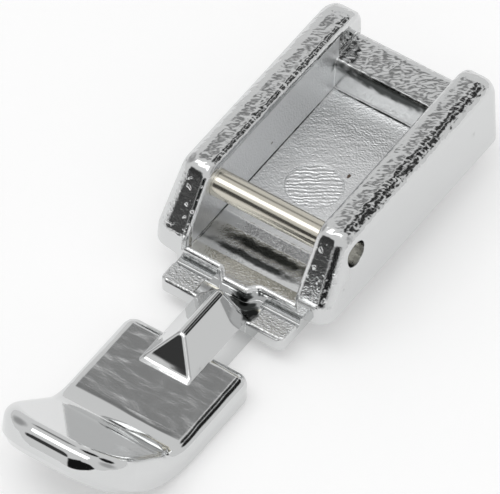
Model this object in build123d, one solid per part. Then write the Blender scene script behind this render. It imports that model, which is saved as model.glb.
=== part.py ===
"""Clip-on zipper foot: a die-cast, chrome-plated body and the steel pin that a machine's ankle clips onto.

The origin lies on the sole, straight below the middle of the pin.
X runs along the pin, +Y runs from the toe to the heel, and +Z is up. Sizes are millimetres.
"""
from build123d import *
import os
from math import radians, tan

# Pin
pin_diameter = 2.0
pin_height = 7.35          # axis of the pin above the sole
pin_recess = 0.9           # each end of the pin lies this far inside the wall's outer face
pin_end_chamfer = 0.2
bore_clearance = 0.01      # on the radius, between the pin and its bores

# Tray: two side walls, a lower rear wall and a floor, open at the front
tray_gap = 8.8             # between the side walls
wall_thickness = 2.9       # of a side wall, at its lower edge
wall_draft = 4.0           # degrees that the outer face leans inward
wall_top = 9.3
wall_bottom = 3.05         # lower edge of the outer face
tray_front = -3.75
tray_rear = 18.1
slant_base = 4.6           # height where the front face starts to lean back
slant_angle = 58.0         # degrees of the leaning front face, above the horizontal
floor_top = 3.8
pocket_rear = 14.5         # inner face of the rear wall
rear_wall_top = 6.65
wall_outer_round = 1.1     # rounding round the outer face of a side wall
wall_inner_round = 0.45    # rounding round its inner face
wall_low_chamfer = 0.3     # lower edges of a side wall
bend_round = 1.3           # where the leaning front meets the top and the lower front
rear_top_round = 1.9
rear_wall_round = 0.9      # outer top edge of the rear wall
lip_round = 0.35           # front edge of the floor, and inner top edge of the rear wall
wall_overlap = 0.1         # the floor and the rear wall end this far behind the side walls' inner rounding

# Tongue of the floor, which reaches over the neck
tongue_width = 3.2         # at the lip
tongue_tip_width = 2.1
tongue_front = -4.5
tongue_corner = 0.4        # radius of its corners, seen from above

# Trough across the floor in front of the pin, and the round mark of an ejector pin behind it
trough_centre = -1.35
trough_width = 2.5
trough_depth = 0.15
mark_diameter = 4.15
mark_depth = 0.12
mark_x = -0.45
mark_y = 6.2

# Base plate under the tray, which shows as a tab each side of the neck
base_width = 10.2
base_front = -6.0
base_top = 2.6
base_bottom = 1.5
base_rear = 16.6
base_corner = 0.6
base_edge_round = 0.25
tab_rear = -4.05           # a groove parts the tabs from the tray behind them
tab_rear_corner = 0.3
groove_bottom = 2.25

# Sole pad under the base plate
pad_width = 8.0
pad_front = -4.2
pad_rear = 15.6
pad_corner = 1.2
pad_edge_chamfer = 0.3

# Neck between the tray and the toe, with a roof-shaped ridge on it
neck_width = 4.1
ridge_crest = 5.0          # height where the two slopes would meet
ridge_rear = -5.3
ridge_rear_angle = 75.0    # degrees of the ridge's rear end
ridge_front = -12.65       # foot of the ridge's front slope
ridge_front_angle = 49.0   # degrees of the front slope
ridge_round = 0.5
ridge_hip_round = 0.3
ridge_foot = 0.25          # the front slope runs out this far onto the toe
ridge_foot_rise = 0.14
ridge_foot_round = 0.5
ridge_rear_round = 0.5

# Toe, a flat plate that curves up into a ski tip
toe_width = 10.1
toe_rear = -9.5
toe_top = 2.6
toe_rear_corner = 0.95
tip_sole_corner = -20.15   # where the sole line and the tip's rising underside would meet
tip_sole_angle = 44.6      # degrees that the underside rises at
tip_sole_radius = 10.0
tip_bend = -18.45          # where the flat top and the tip's rising top would meet
tip_bend_angle = 41.0      # degrees that the top rises at
tip_bend_radius = 4.6
tip_front = -27.25         # lower edge of the tip's front end
tip_lean = 1.1             # upper edge of the front end lies this far behind the lower edge
tip_bulge = 0.36           # the two flats of the front end would meet this far in front of a straight front
tip_front_round = 4.4
tip_corner = 3.8           # radius of the front corners
toe_top_round = 0.85
toe_low_chamfer = 0.5

half_gap = tray_gap / 2
half_width = half_gap + wall_thickness
floor_half_width = half_gap + wall_inner_round + wall_overlap
reach = 2 * tray_rear      # longer than any cut needs to be
edge_tolerance = 1e-3
facing_limit = 0.5         # a face looks up or down when its normal has at least this much of Z


def rounded_face(plane, corners):
    """Face on a plane inside a closed outline, from corners given as (x, y, radius)."""
    places = [(x, y) for x, y, _ in corners]
    radii = [radius for _, _, radius in corners]
    return plane * make_face(FilletPolyline(*places, radius=radii, close=True))


def plan_plate(width, front, rear, front_corner, rear_corner, bottom, top):
    """Plate with a rounded rectangle as its plan, from its bottom height to its top height."""
    plan = rounded_face(
        Plane.XY.offset(bottom),
        [
            (-width / 2, front, front_corner),
            (width / 2, front, front_corner),
            (width / 2, rear, rear_corner),
            (-width / 2, rear, rear_corner),
        ],
    )
    return extrude(plan, amount=top - bottom)


def faces_looking_up(solid):
    """Faces whose middle looks more up than sideways."""
    return [face for face in solid.faces() if face.normal_at().Z > facing_limit]


def faces_looking_down(solid):
    """Faces whose middle looks more down than sideways."""
    return [face for face in solid.faces() if face.normal_at().Z < -facing_limit]


def outline_edges(faces):
    """Edges round a group of faces, without those that two of the faces share."""
    edges = [edge for face in faces for edge in face.edges()]
    return [
        edge
        for edge in edges
        if sum((other.center() - edge.center()).length < edge_tolerance for other in edges) == 1
    ]


def edges_above(edges, height):
    """Edges whose middle lies above a height."""
    return [edge for edge in edges if edge.center().Z > height + edge_tolerance]


def side_edges(face):
    """The left and right edges of a face that runs across the foot."""
    across = face.edges().sort_by(Axis.X)
    return [across[0], across[-1]]


def outer_half_width(height):
    """Half the tray's width at a height, on the leaning outer faces."""
    return half_width - (height - wall_bottom) * tan(radians(wall_draft))


def side_wall():
    """Right side wall: its side view and its cross section meet, then both rims are rounded."""
    slant_run = (wall_top - slant_base) / tan(radians(slant_angle))
    side = rounded_face(
        Plane.YZ,
        [
            (tray_front, base_top, 0),
            (tray_front, slant_base, bend_round),
            (tray_front + slant_run, wall_top, bend_round),
            (tray_rear, wall_top, rear_top_round),
            (tray_rear, base_top, 0),
        ],
    )
    section = Plane.XZ * make_face(
        Polyline(
            (0, base_top),
            (base_width / 2, base_top),
            (half_width, wall_bottom),
            (outer_half_width(wall_top), wall_top),
            (half_gap, wall_top),
            (half_gap, wall_bottom),
            (0, wall_bottom),
            close=True,
        )
    )
    wall = extrude(side, amount=reach, both=True) & extrude(section, amount=reach, both=True)
    outer_rim = wall.faces().sort_by(Axis.X)[-1].edges()
    wall = fillet(edges_above(outer_rim, wall_bottom), wall_outer_round)
    low_edges = [edge for face in faces_looking_down(wall) for edge in face.edges()]
    inner_line = base_width / 2 + edge_tolerance
    wall = chamfer([edge for edge in low_edges if edge.center().X > inner_line], wall_low_chamfer)
    inner_rim = [edge for edge in wall.edges() if abs(edge.center().X - half_gap) < edge_tolerance]
    return fillet(edges_above(inner_rim, wall_bottom), wall_inner_round)


def tray_floor():
    """Floor of the tray, with the tongue at the middle of its front edge, rounded along that edge."""
    plan = rounded_face(
        Plane.XY.offset(base_bottom),
        [
            (-floor_half_width, pocket_rear, 0),
            (-floor_half_width, tray_front, 0),
            (-tongue_width / 2, tray_front, tongue_corner),
            (-tongue_tip_width / 2, tongue_front, tongue_corner),
            (tongue_tip_width / 2, tongue_front, tongue_corner),
            (tongue_width / 2, tray_front, tongue_corner),
            (floor_half_width, tray_front, 0),
            (floor_half_width, pocket_rear, 0),
        ],
    )
    slab = extrude(plan, amount=floor_top - base_bottom)
    top_edges = slab.faces().sort_by(Axis.Z)[-1].edges()
    lip = [edge for edge in top_edges if edge.center().Y < tray_front + edge_tolerance]
    return fillet(lip, lip_round)


def rear_wall():
    """Low wall at the rear of the tray, which lies between the side walls."""
    side = rounded_face(
        Plane.YZ,
        [
            (pocket_rear, base_top, 0),
            (pocket_rear, rear_wall_top, lip_round),
            (tray_rear, rear_wall_top, rear_wall_round),
            (tray_rear, base_top, 0),
        ],
    )
    return extrude(side, amount=floor_half_width, both=True)


def trough():
    """Shallow round trough across the floor: a cylinder whose chord is the trough's width."""
    radius = (trough_width**2 / 4 + trough_depth**2) / (2 * trough_depth)
    roller = Rot(0, 90, 0) * Cylinder(radius, tray_gap)
    return Pos(0, trough_centre, floor_top - trough_depth + radius) * roller


def ejector_mark():
    """Round mark that an ejector pin left in the floor."""
    return Pos(mark_x, mark_y, floor_top) * Cylinder(mark_diameter / 2, 2 * mark_depth)


def tray():
    """Tray: its side walls, floor and rear wall, with the marks in the floor."""
    wall = side_wall()
    return wall + mirror(wall, Plane.YZ) + rear_wall() + (tray_floor() - trough() - ejector_mark())


def base():
    """Base plate with the tabs at its front, the sill that carries the tray, and the sole pad under it."""
    tabs = plan_plate(base_width, base_front, tab_rear, base_corner, tab_rear_corner, base_bottom, base_top)
    tabs = fillet(tabs.faces().sort_by(Axis.Z)[-1].edges(), base_edge_round)
    plate_front = base_front + base_corner
    plate = plan_plate(base_width, plate_front, base_rear, 0, base_corner, base_bottom, groove_bottom)
    sill = plan_plate(base_width, tray_front, base_rear, 0, base_corner, base_bottom, wall_bottom)
    pad = plan_plate(pad_width, pad_front, pad_rear, pad_corner, pad_corner, 0, groove_bottom)
    pad = chamfer(pad.faces().sort_by(Axis.Z)[0].edges(), pad_edge_chamfer)
    return tabs + plate + sill + pad


def ridge():
    """Ridge on the neck: a roof with a rounded crest, hipped at the front and steep at the rear."""
    rise = ridge_crest - base_top
    roof = rounded_face(
        Plane.XZ,
        [
            (-neck_width / 2, base_top, 0),
            (neck_width / 2, base_top, 0),
            (0, ridge_crest, ridge_round),
        ],
    )
    front_slope = tan(radians(ridge_front_angle))
    side = rounded_face(
        Plane.YZ,
        [
            (ridge_front - ridge_foot, base_top, 0),
            (ridge_front + ridge_foot_rise / front_slope, base_top + ridge_foot_rise, ridge_foot_round),
            (ridge_front + rise / front_slope, ridge_crest, 0),
            (ridge_rear - rise / tan(radians(ridge_rear_angle)), ridge_crest, 0),
            (ridge_rear, base_top, 0),
        ],
    )
    block = extrude(roof, amount=reach, both=True) & extrude(side, amount=neck_width, both=True)
    rear = block.faces().sort_by(Axis.Y)[-1]
    block = fillet(edges_above(rear.edges(), base_top), ridge_rear_round)
    front = [face for face in block.faces() if face.normal_at().Y < -facing_limit]
    return fillet(edges_above(outline_edges(front), base_top + ridge_foot_rise), ridge_hip_round)


def neck():
    """Neck down to the sole, with its ridge."""
    bar = plan_plate(neck_width, toe_rear - toe_rear_corner, pad_front + pad_corner, 0, 0, 0, base_top)
    return bar + ridge()


def toe():
    """Toe: its side view carried across the width, then rounded at its corners and along its edges."""
    tip_top_front = tip_front + tip_lean
    low_rise = (tip_sole_corner - tip_front) * tan(radians(tip_sole_angle))
    top_rise = (tip_bend - tip_top_front) * tan(radians(tip_bend_angle))
    side = rounded_face(
        Plane.YZ,
        [
            (toe_rear, 0, 0),
            (tip_sole_corner, 0, tip_sole_radius),
            (tip_front, low_rise, 0),
            (tip_front + tip_lean / 2 - tip_bulge, (low_rise + toe_top + top_rise) / 2, tip_front_round),
            (tip_top_front, toe_top + top_rise, 0),
            (tip_bend, toe_top, tip_bend_radius),
            (toe_rear, toe_top, 0),
        ],
    )
    plate = extrude(side, amount=toe_width / 2, both=True)
    plate = fillet(side_edges(plate.faces().sort_by(Axis.Y)[-1]), toe_rear_corner)
    plate = fillet(side_edges(plate.faces().sort_by(Axis.Y)[0]), tip_corner)
    plate = fillet(outline_edges(faces_looking_up(plate)), toe_top_round)
    return chamfer(outline_edges(faces_looking_down(plate)), toe_low_chamfer)


def foot_casting():
    """The whole casting, with the bores for the pin."""
    body = tray() + base() + neck() + toe()
    bore = Rot(0, 90, 0) * Cylinder(pin_diameter / 2 + bore_clearance, 2 * reach)
    return body - Pos(0, 0, pin_height) * bore


def cross_pin():
    """Plain steel pin, pressed through both side walls and chamfered at its ends."""
    length = 2 * (outer_half_width(pin_height) - pin_recess)
    pin = Rot(0, 90, 0) * Cylinder(pin_diameter / 2, length)
    return Pos(0, 0, pin_height) * chamfer(pin.edges().filter_by(GeomType.CIRCLE), pin_end_chamfer)


os.makedirs("parts", exist_ok=True)
for name, shape in (("foot_casting", foot_casting()), ("cross_pin", cross_pin())):
    export_step(shape, f"parts/{name}.step")
    print(name, round(shape.volume, 2), shape.bounding_box().size)
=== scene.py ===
# %% [markdown]
# # A chrome-plated zipper foot
#
# This lesson dresses the solids of a sewing-machine zipper foot. The foot is a small zinc casting with a
# bright chrome plate, and a steel pin runs across its tray. The shapes come from the CAD frame. Blender adds
# what the eye reads as metal: how smooth or wrinkled each face is, and a studio for the plate to mirror.

# %% Load the frame
from math import cos, pi, radians, sin

import bpy
import numpy as np
from mathutils import Matrix, Vector

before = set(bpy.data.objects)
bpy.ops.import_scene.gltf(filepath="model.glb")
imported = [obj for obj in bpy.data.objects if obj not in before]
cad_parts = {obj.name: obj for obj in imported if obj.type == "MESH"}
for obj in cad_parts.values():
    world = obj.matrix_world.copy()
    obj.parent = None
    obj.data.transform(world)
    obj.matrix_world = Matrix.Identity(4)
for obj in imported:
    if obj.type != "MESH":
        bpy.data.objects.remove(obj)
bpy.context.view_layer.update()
MM = 0.001

# %% [markdown]
# ## The camera
#
# The photograph is a close view from above, in front and to the right. Parallel edges stay nearly parallel
# in it, as through a long lens from far away. A camera can be aimed with a constraint, but here its matrix
# is worked out from an azimuth, an elevation and a small roll, so the angles can be read in the code.

# %% Camera
IMAGE_WIDTH = 500
FOCAL_PIXELS = 9000
SENSOR_WIDTH = 36.0
CAMERA_TARGET = Vector((0.031, -2.538, 5.878)) * MM
CAMERA_DISTANCE = 613.46 * MM
CAMERA_AZIMUTH = radians(32.66)     # from straight in front of the toe, towards the foot's right
CAMERA_ELEVATION = radians(48.93)
CAMERA_ROLL = radians(1.80)

backward = Vector((
    cos(CAMERA_ELEVATION) * sin(CAMERA_AZIMUTH),
    -cos(CAMERA_ELEVATION) * cos(CAMERA_AZIMUTH),
    sin(CAMERA_ELEVATION),
))
level_right = Vector((0, 0, 1)).cross(backward).normalized()
turned_right = Matrix.Rotation(CAMERA_ROLL, 3, backward) @ level_right
upward = backward.cross(turned_right)

lens = bpy.data.cameras.new("camera")
lens.sensor_fit = "HORIZONTAL"
lens.sensor_width = SENSOR_WIDTH
lens.lens = FOCAL_PIXELS * SENSOR_WIDTH / IMAGE_WIDTH
lens.clip_start = 0.01
camera = bpy.data.objects.new("camera", lens)
axes = Matrix((turned_right, upward, backward)).transposed()
camera.matrix_world = Matrix.Translation(CAMERA_TARGET + backward * CAMERA_DISTANCE) @ axes.to_4x4()
bpy.context.scene.collection.objects.link(camera)
bpy.context.scene.camera = camera
print("camera at", [round(value, 3) for value in camera.matrix_world.translation], "lens", lens.lens)

# %% [markdown]
# ## Two helpers
#
# Shader trees are long to write by hand. One function adds a node, sets its options and fills its sockets
# with values or links. Another turns the sRGB colours that people read off a screen into the linear ones
# that the renderer works with.


# %% Node and colour helpers
def add_node(tree, kind, inputs=None, **settings):
    """Adds a node. Settings are its options. Inputs give its sockets a value or another node's output."""
    node = tree.nodes.new(kind)
    for name, value in settings.items():
        setattr(node, name, value)
    for name, value in (inputs or {}).items():
        if isinstance(value, bpy.types.NodeSocket):
            tree.links.new(value, node.inputs[name])
        else:
            node.inputs[name].default_value = value
    return node


def srgb(code):
    """Linear colour of an sRGB hex code: c / 12.92 up to 0.04045, else ((c + 0.055) / 1.055) ** 2.4."""
    channels = np.array([int(code[place:place + 2], 16) for place in (1, 3, 5)]) / 255
    linear = np.where(channels <= 0.04045, channels / 12.92, ((channels + 0.055) / 1.055) ** 2.4)
    return (*linear, 1.0)


def new_material(name):
    """An empty node material, and its tree."""
    material = bpy.data.materials.new(name)
    material.use_nodes = True
    material.node_tree.nodes.clear()
    return material, material.node_tree


# %% [markdown]
# ## The studio
#
# Chrome has almost no look of its own: it shows what stands around it. The reflections in the photograph
# look like a white table in a light tent, with a dark room in front. A picture of a studio could be used,
# but a few soft-edged patches on the sky's sphere say the same and can be moved by their angles. Their
# places were fitted to the photograph. The camera itself sees plain white.

# %% The table
FLOOR_SIZE = 4.0
FLOOR_DROP = 0.02 * MM
TABLE_COLOUR = "#E9E9E9"
TABLE_GLOW = 0.25                    # lifts the table to white, for camera and mirror rays alone
SHEET_FRONT = -0.065                 # the paper ends here, and the toe mirrors the dark room beyond it

corner = FLOOR_SIZE / 2
floor_mesh = bpy.data.meshes.new("table")
floor_mesh.from_pydata(
    [(-corner, SHEET_FRONT, -FLOOR_DROP), (corner, SHEET_FRONT, -FLOOR_DROP),
     (corner, corner, -FLOOR_DROP), (-corner, corner, -FLOOR_DROP)],
    [],
    [(0, 1, 2, 3)],
)
floor = bpy.data.objects.new("table", floor_mesh)
bpy.context.scene.collection.objects.link(floor)
table_paper, tree = new_material("white_table_paper")
floor_mesh.materials.append(table_paper)
rays = add_node(tree, "ShaderNodeLightPath")
seen = add_node(tree, "ShaderNodeMath", {0: rays.outputs["Is Camera Ray"], 1: rays.outputs["Is Glossy Ray"]},
                operation="MAXIMUM")
seen = add_node(tree, "ShaderNodeMath", {0: seen.outputs[0], 1: rays.outputs["Is Transmission Ray"]},
                operation="MAXIMUM")
glow = add_node(tree, "ShaderNodeMath", {0: seen.outputs[0], 1: TABLE_GLOW}, operation="MULTIPLY")
paper = add_node(tree, "ShaderNodeBsdfDiffuse", {"Color": srgb(TABLE_COLOUR)})
shine = add_node(tree, "ShaderNodeEmission", {"Strength": glow.outputs[0]})
table = add_node(tree, "ShaderNodeAddShader", {0: paper.outputs[0], 1: shine.outputs[0]})
add_node(tree, "ShaderNodeOutputMaterial", {"Surface": table.outputs[0]})
print("table paper in front of the pin, in mm:", -SHEET_FRONT / MM)

# %% The tent and the dark room
TENT_WHITE = 0.8
CAMERA_WHITE = 1.0
WHITE = "#FFFFFF"
# Each patch: azimuth from +X towards +Y, elevation, inner and outer radius in degrees, and brightness.
SKY_PATCHES = {
    "dark room in front, left part": (-113, 16, 12, 17, 0.05),
    "dark room in front, right part": (-72, -2, 24, 28, 0.01),
    "black flag at the right rear, low part": (45, 36, 10, 15, 0.016),
    "black flag at the right rear, high part": (76, 54, 9, 15, 0.024),
    "grey wall at the left rear": (122, 49, 1, 11, 0.22),
    "grey wall at the left": (178, 28, 6, 28, 0.40),
    "grey wall at the right": (5, 24, 6, 24, 0.45),
}


def direction(azimuth, elevation):
    """Unit vector at an azimuth and an elevation in degrees."""
    turn, lift = radians(azimuth), radians(elevation)
    return (cos(lift) * cos(turn), cos(lift) * sin(turn), sin(lift))


world = bpy.data.worlds.new("light_tent")
bpy.context.scene.world = world
world.use_nodes = True
tree = world.node_tree
tree.nodes.clear()
way = add_node(tree, "ShaderNodeTexCoord").outputs["Generated"]
brightness = None
for label, (azimuth, elevation, inner, outer, level) in SKY_PATCHES.items():
    facing = add_node(tree, "ShaderNodeVectorMath", {0: way, 1: direction(azimuth, elevation)},
                      operation="DOT_PRODUCT", label=label)
    limits = {"From Min": cos(radians(outer)), "From Max": cos(radians(inner))}
    inside = add_node(tree, "ShaderNodeMapRange", {"Value": facing.outputs["Value"], **limits},
                      interpolation_type="SMOOTHSTEP")
    before = TENT_WHITE if brightness is None else brightness
    mixed = add_node(tree, "ShaderNodeMix", {"Factor": inside.outputs[0], "A": before, "B": level},
                     data_type="FLOAT")
    brightness = mixed.outputs["Result"]
rays = add_node(tree, "ShaderNodeLightPath")
sky = add_node(tree, "ShaderNodeMix",
               {"Factor": rays.outputs["Is Camera Ray"], "A": brightness, "B": CAMERA_WHITE},
               data_type="FLOAT")
background = add_node(tree, "ShaderNodeBackground",
                      {"Color": srgb(WHITE), "Strength": sky.outputs["Result"]})
add_node(tree, "ShaderNodeOutputWorld", {"Surface": background.outputs[0]})
print("sky patches:", len(SKY_PATCHES))

# %% The softbox overhead
SOFTBOX_LENGTH, SOFTBOX_WIDTH = 0.56, 0.24
SOFTBOX_Y, SOFTBOX_HEIGHT = -0.16, 0.50
SOFTBOX_RADIANCE = 1.8

light = bpy.data.lights.new("softbox", "AREA")
light.shape = "RECTANGLE"
light.size = SOFTBOX_LENGTH
light.size_y = SOFTBOX_WIDTH
light.energy = SOFTBOX_RADIANCE * pi * SOFTBOX_LENGTH * SOFTBOX_WIDTH
softbox = bpy.data.objects.new("softbox", light)
softbox.location = (0.0, SOFTBOX_Y, SOFTBOX_HEIGHT)
softbox.rotation_euler = Vector(softbox.location).to_track_quat("Z", "Y").to_euler()
bpy.context.scene.collection.objects.link(softbox)
print("softbox:", round(light.energy, 2), "W")

# %% [markdown]
# ## Chrome over a zinc casting
#
# The plate is thin, so it copies the casting under it. The toe and the outer faces are close to mirrors. The
# wall tops and the slanted fronts are wrinkled and lumpy, and the inside of the tray is satin. One material
# covers the casting, and soft boxes in millimetres say which finish is where. A second material per face
# would need the mesh cut up, which a CAD node must not be.

# %% Chrome: where each finish lies
CHROME_COLOUR = "#D5D6D6"
TRAY_PAINTED_LIGHT_COLOUR = "#F6F7F8"             # painted light: the satin plate inside the tray gets a paler colour than the mirror around it
FLOOR_PAINTED_LIGHT_SHARE = 0.55                   # share of the painted light colour on the tray's floor
PLATE_ROUNDING = 0.10 * MM           # every sharp edge of the casting shows a little rounding
# Each finish: middle and half size of its box in mm, with X alike on both sides, and softness of its border.
FINISHES = {
    "wall_crown": ((5.6, 8.6, 9.5), (2.5, 11.0, 0.6), 1.0),
    "wall_top": ((5.6, 8.6, 9.2), (1.4, 9.4, 0.7), 0.8),
    "rear_top": ((0, 16.2, 6.7), (4.6, 1.6, 0.4), 0.3),
    "slant": ((5.9, -2.4, 6.6), (1.3, 1.6, 2.1), 0.4),
    "floor": ((0, 7.7, 3.7), (4.4, 6.8, 0.3), 0.3),
    "floor_front": ((0, -1.9, 3.7), (4.4, 2.8, 0.3), 0.3),
    "tab": ((3.7, -5.0, 2.6), (1.3, 0.85, 0.2), 0.2),
    "toe_top": ((0, -13.6, 2.6), (4.5, 3.4, 0.2), 0.8),
    "outer_face": ((7.2, 7.5, 5.9), (0.5, 12.0, 2.4), 0.3),
    "inner_wall": ((4.45, 6.0, 6.2), (0.12, 9.0, 2.4), 0.1),
    "rear_wall": ((0, 14.5, 5.0), (4.4, 0.12, 1.2), 0.1),
}

chrome, tree = new_material("chrome_plated_zinc_casting")
place = add_node(tree, "ShaderNodeTexCoord")
mm = add_node(tree, "ShaderNodeVectorMath", {0: place.outputs["Object"], "Scale": 1 / MM}, operation="SCALE")
spot = add_node(tree, "ShaderNodeSeparateXYZ", {0: mm.outputs[0]})
side = add_node(tree, "ShaderNodeMath", {0: spot.outputs["X"]}, operation="ABSOLUTE")
half = add_node(tree, "ShaderNodeCombineXYZ",
                {"X": side.outputs[0], "Y": spot.outputs["Y"], "Z": spot.outputs["Z"]})

finish = {}
for name, (middle, half_size, softness) in FINISHES.items():
    away = add_node(tree, "ShaderNodeVectorMath", {0: half.outputs[0], 1: middle}, operation="SUBTRACT",
                    label=name)
    away = add_node(tree, "ShaderNodeVectorMath", {0: away.outputs[0]}, operation="ABSOLUTE")
    past = add_node(tree, "ShaderNodeVectorMath", {0: away.outputs[0], 1: half_size}, operation="SUBTRACT")
    past = add_node(tree, "ShaderNodeSeparateXYZ", {0: past.outputs[0]})
    most = add_node(tree, "ShaderNodeMath", {0: past.outputs["X"], 1: past.outputs["Y"]}, operation="MAXIMUM")
    most = add_node(tree, "ShaderNodeMath", {0: most.outputs[0], 1: past.outputs["Z"]}, operation="MAXIMUM")
    inside = add_node(tree, "ShaderNodeMapRange",
                      {"Value": most.outputs[0], "From Min": softness / 2, "From Max": -softness / 2},
                      interpolation_type="SMOOTHSTEP")
    finish[name] = inside.outputs[0]
print("finishes on the casting:", ", ".join(finish))

# %% Chrome: wrinkles, streaks, lumps and grain
WRINKLE_TURN = radians(35)           # the wrinkles on the walls and the floor lie at this angle to the pin
LINE_SPACING = 0.33
MARK_MIDDLE = (-0.45, 6.2, 3.7)
MARK_RADIUS = 2.05
MARK_BORDER = 0.15
LINE_WAVER = 5.0
LUMP_START, LUMP_FULL = 0.62, 0.80   # the noise stands up as a lump between these values
NOISE_MIDDLE = 0.5
WALL_MIDDLE = 5.6                    # the wall tops are slightly crowned about this distance from the middle
CROWN_LIMIT = 1.0


def stretched_noise(turn, length, width, **more):
    """Noise drawn out to a length in mm along a direction in the plan, and to a width across it."""
    turned = add_node(tree, "ShaderNodeMapping", {"Vector": mm.outputs[0], "Rotation": (0, 0, -turn)})
    density = (1 / length, 1 / width, 1 / width)
    scaled = add_node(tree, "ShaderNodeVectorMath", {0: turned.outputs[0], 1: density}, operation="MULTIPLY")
    settings = {"Vector": scaled.outputs[0], "Scale": 1.0, **more}
    return add_node(tree, "ShaderNodeTexNoise", settings).outputs[0]


# Direction of each pattern's marks, and their length and width in mm.
wrinkles = stretched_noise(WRINKLE_TURN, 0.75, 0.50, Detail=1.0)
ripples = stretched_noise(WRINKLE_TURN, 1.1, 0.30, Detail=2.0, Distortion=0.2)
streaks = stretched_noise(0, 1.3, 0.36, Detail=2.0)
blotches = stretched_noise(0, 2.0, 1.2, Detail=1.0)
grain = stretched_noise(0, 0.15, 0.15, Detail=1.0)
swell_noise = stretched_noise(radians(-30), 6.0, 3.6, Detail=0.5)
swell = add_node(tree, "ShaderNodeMath", {0: swell_noise, 1: NOISE_MIDDLE}, operation="SUBTRACT").outputs[0]
lump_noise = stretched_noise(radians(70), 0.55, 0.34, Detail=0.5)
lumps = add_node(tree, "ShaderNodeMapRange",
                 {"Value": lump_noise, "From Min": LUMP_START, "From Max": LUMP_FULL},
                 interpolation_type="SMOOTHSTEP").outputs[0]
turned = add_node(tree, "ShaderNodeMapping", {"Vector": mm.outputs[0], "Rotation": (0, 0, -WRINKLE_TURN)})
# A wave of scale 1 repeats every pi / 10.
lines = add_node(tree, "ShaderNodeTexWave",
                 {"Vector": turned.outputs[0], "Scale": pi / 10 / LINE_SPACING, "Distortion": LINE_WAVER,
                  "Detail": 3.0, "Detail Scale": 1.6},
                 wave_type="BANDS", bands_direction="Y").outputs[0]
from_mark = add_node(tree, "ShaderNodeVectorMath", {0: mm.outputs[0], 1: MARK_MIDDLE}, operation="DISTANCE")
on_mark = add_node(tree, "ShaderNodeMapRange",
                   {"Value": from_mark.outputs["Value"], "From Min": MARK_RADIUS,
                    "From Max": MARK_RADIUS - MARK_BORDER}).outputs[0]
across = add_node(tree, "ShaderNodeMath", {0: side.outputs[0], 1: WALL_MIDDLE}, operation="SUBTRACT")
crown = add_node(tree, "ShaderNodeMath", {0: across.outputs[0], 1: across.outputs[0]}, operation="MULTIPLY")
crown = add_node(tree, "ShaderNodeMath", {0: crown.outputs[0], 1: CROWN_LIMIT}, operation="MINIMUM")
crown = crown.outputs[0]
# Height in mm that each pattern gives each finish.
HEIGHTS = [
    (crown, finish["wall_crown"], -0.090),
    (wrinkles, finish["wall_top"], 0.095),
    (wrinkles, finish["rear_top"], 0.120),
    (ripples, finish["floor"], 0.050),
    (ripples, finish["floor_front"], 0.012),
    (swell, finish["toe_top"], 0.240),
    (streaks, finish["toe_top"], 0.012),
    (blotches, finish["toe_top"], 0.070),
    (grain, finish["toe_top"], 0.004),
    (blotches, finish["floor"], 0.030),
    (wrinkles, finish["slant"], 0.014),
    (lumps, finish["slant"], 0.032),
    (grain, finish["slant"], 0.010),
    (grain, finish["floor"], 0.055),
    (grain, finish["floor_front"], 0.018),
    (grain, finish["tab"], 0.085),
    (grain, finish["inner_wall"], 0.050),
    (lines, on_mark, 0.036),
]
height = 0.0
for pattern, where, depth in HEIGHTS:
    part = add_node(tree, "ShaderNodeMath", {0: pattern, 1: where}, operation="MULTIPLY")
    height = add_node(tree, "ShaderNodeMath", {0: part.outputs[0], 1: depth, 2: height},
                      operation="MULTIPLY_ADD").outputs[0]
print("height patterns:", len(HEIGHTS))

# %% Chrome: how rough each finish is, and its painted light, shade and reflections
# Roughness that each finish adds to the polished plate.
ROUGHNESS = {"wall_top": 0.09, "rear_top": 0.09, "slant": 0.10, "floor": 0.33, "floor_front": 0.06,
             "tab": 0.18, "toe_top": 0.13, "outer_face": 0.14, "inner_wall": 0.38, "rear_wall": 0.12}
POLISHED = 0.05
# Each speck: middle and half size in mm.
SPECKS = [((1.01, 8.29, 3.8), (0.16, 0.30, 0.2)), ((-4.4, 6.77, 5.13), (0.2, 0.13, 0.12))]
DIRT_COLOUR = "#4A3A2C"
# Painted reflections and painted shade: the plate is drawn darker where the photograph shows dark reflections
# and corners.
# Each place: middle and half size in mm.
# Painted reflection: a dark patch at the neck, right of the ridge's rear.
NECK_PAINTED_REFLECTION = [((1.1, -5.3, 2.5), (1.3, 1.2, 0.75))]
# Painted reflections: two dark bands in the trough in front of the pin, and a band under the rear wall's top
# edge. Painted shade: thin lines along the floor's left and rear corners.
PAINTED_DARK_PLACES = [((0.2, -0.7, 3.7), (3.9, 0.42, 0.5)),
           ((-0.4, -1.8, 3.7), (3.7, 0.36, 0.5)), ((0, 14.5, 6.2), (5.6, 0.5, 0.6)),
           ((-4.4, 5.5, 3.8), (0.07, 9.0, 0.07)), ((0, 14.5, 3.8), (4.6, 0.08, 0.08))]
PAINTED_DARK_COLOUR = "#424443"
# Full up to the first radius and gone past the second, as shares of the half size.
SPECK_EDGE, PAINTED_BAND_EDGE, PAINTED_PATCH_EDGE = (1.1, 1.4), (1.0, 1.9), (1.3, 1.6)

roughness = POLISHED
for name, more in ROUGHNESS.items():
    roughness = add_node(tree, "ShaderNodeMath", {0: finish[name], 1: more, 2: roughness},
                         operation="MULTIPLY_ADD").outputs[0]


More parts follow.
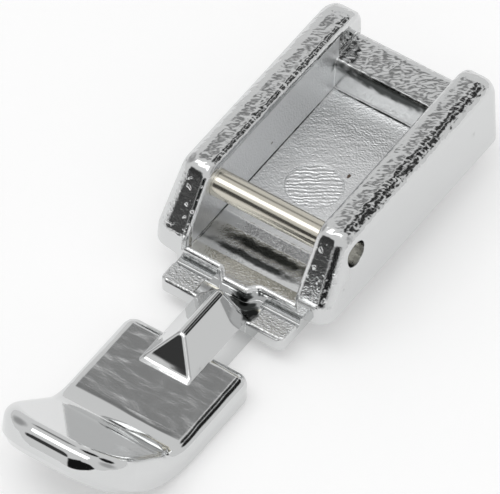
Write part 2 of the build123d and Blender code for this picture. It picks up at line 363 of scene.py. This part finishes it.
def soft_spots(spots, ragged, edge):
    """How well some ellipsoids cover a point: 1 up to the near radius of the closest, 0 past its far one."""
    near, far = edge
    cover = 0.0
    for middle, half_size in spots:
        away = add_node(tree, "ShaderNodeVectorMath", {0: mm.outputs[0], 1: middle}, operation="SUBTRACT")
        away = add_node(tree, "ShaderNodeVectorMath", {0: away.outputs[0], 1: half_size}, operation="DIVIDE")
        away = add_node(tree, "ShaderNodeVectorMath", {0: away.outputs[0]}, operation="LENGTH")
        radius = add_node(tree, "ShaderNodeMath", {0: away.outputs["Value"], 1: ragged}, operation="ADD")
        inside = add_node(tree, "ShaderNodeMapRange",
                          {"Value": radius.outputs[0], "From Min": far, "From Max": near},
                          interpolation_type="SMOOTHSTEP")
        cover = add_node(tree, "ShaderNodeMath", {0: inside.outputs[0], 1: cover}, operation="MAXIMUM")
        cover = cover.outputs[0]
    return cover


dirt = soft_spots(SPECKS, grain, SPECK_EDGE)
painted_bands = soft_spots(PAINTED_DARK_PLACES, wrinkles, PAINTED_BAND_EDGE)
painted_patch = soft_spots(NECK_PAINTED_REFLECTION, wrinkles, PAINTED_PATCH_EDGE)
painted_dark = add_node(tree, "ShaderNodeMath", {0: painted_bands, 1: painted_patch}, operation="MAXIMUM").outputs[0]
clean = add_node(tree, "ShaderNodeMath", {0: 1.0, 1: dirt}, operation="SUBTRACT").outputs[0]
# Painted light: the tray's floor and inner walls are mixed towards the paler colour, to brighten them.
tray_painted_light = add_node(tree, "ShaderNodeMath", {0: finish["floor"], 1: FLOOR_PAINTED_LIGHT_SHARE}, operation="MULTIPLY")
tray_painted_light = add_node(tree, "ShaderNodeMath", {0: tray_painted_light.outputs[0], 1: finish["inner_wall"]}, operation="MAXIMUM")
colour = add_node(tree, "ShaderNodeMix",
                  {"Factor": tray_painted_light.outputs[0], 6: srgb(CHROME_COLOUR), 7: srgb(TRAY_PAINTED_LIGHT_COLOUR)},
                  data_type="RGBA")
# Painted shade and painted reflections: the plate's colour is mixed towards a dark grey over these places.
colour = add_node(tree, "ShaderNodeMix", {"Factor": painted_dark, 6: colour.outputs[2], 7: srgb(PAINTED_DARK_COLOUR)},
                  data_type="RGBA")
colour = add_node(tree, "ShaderNodeMix", {"Factor": dirt, 6: colour.outputs[2], 7: srgb(DIRT_COLOUR)},
                  data_type="RGBA")
rounded = add_node(tree, "ShaderNodeBevel", {"Radius": PLATE_ROUNDING}, samples=6)
bump = add_node(tree, "ShaderNodeBump", {"Height": height, "Distance": MM, "Strength": 1.0,
                                         "Normal": rounded.outputs[0]})
plate = add_node(tree, "ShaderNodeBsdfPrincipled", {"Base Color": colour.outputs[2], "Metallic": clean,
                                                    "Roughness": roughness, "Normal": bump.outputs[0]})
add_node(tree, "ShaderNodeOutputMaterial", {"Surface": plate.outputs[0]})
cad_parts["foot_casting"].material_slots[0].material = chrome
print("nodes in the chrome:", len(tree.nodes))

# %% [markdown]
# ## The steel pin
#
# The pin looks like drawn steel wire, cut to length. Drawing leaves fine lines along a wire, so its highlight
# is one long soft stripe. Bare steel is warmer and darker than the chrome beside it.

# %% Drawn steel
STEEL_COLOUR = "#CFCBBF"
DRAWN_LINE_WIDTH, DRAWN_LINE_LENGTH = 0.08, 4.0
DRAWN_LINE_DEPTH = 0.004 * MM
STEEL_SMOOTHEST, STEEL_ROUGHEST = 0.12, 0.24

steel, tree = new_material("drawn_steel_pin")
place = add_node(tree, "ShaderNodeTexCoord")
mm = add_node(tree, "ShaderNodeVectorMath", {0: place.outputs["Object"], "Scale": 1 / MM}, operation="SCALE")
density = (1 / DRAWN_LINE_LENGTH, 1 / DRAWN_LINE_WIDTH, 1 / DRAWN_LINE_WIDTH)
stretched = add_node(tree, "ShaderNodeVectorMath", {0: mm.outputs[0], 1: density}, operation="MULTIPLY")
drawn = add_node(tree, "ShaderNodeTexNoise", {"Vector": stretched.outputs[0], "Scale": 1.0, "Detail": 2.0})
matt = add_node(tree, "ShaderNodeMapRange",
                {"Value": drawn.outputs[0], "To Min": STEEL_SMOOTHEST, "To Max": STEEL_ROUGHEST})
bump = add_node(tree, "ShaderNodeBump",
                {"Height": drawn.outputs[0], "Distance": DRAWN_LINE_DEPTH, "Strength": 1.0})
wire = add_node(tree, "ShaderNodeBsdfPrincipled", {"Base Color": srgb(STEEL_COLOUR), "Metallic": 1.0,
                                                   "Roughness": matt.outputs[0], "Normal": bump.outputs[0]})
add_node(tree, "ShaderNodeOutputMaterial", {"Surface": wire.outputs[0]})
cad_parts["cross_pin"].material_slots[0].material = steel
print("nodes in the steel:", len(tree.nodes))

# %% [markdown]
# ## The last settings
#
# The view transform is set to Standard, so that colours come out as they are written.

# %% View
bpy.context.scene.view_settings.view_transform = "Standard"
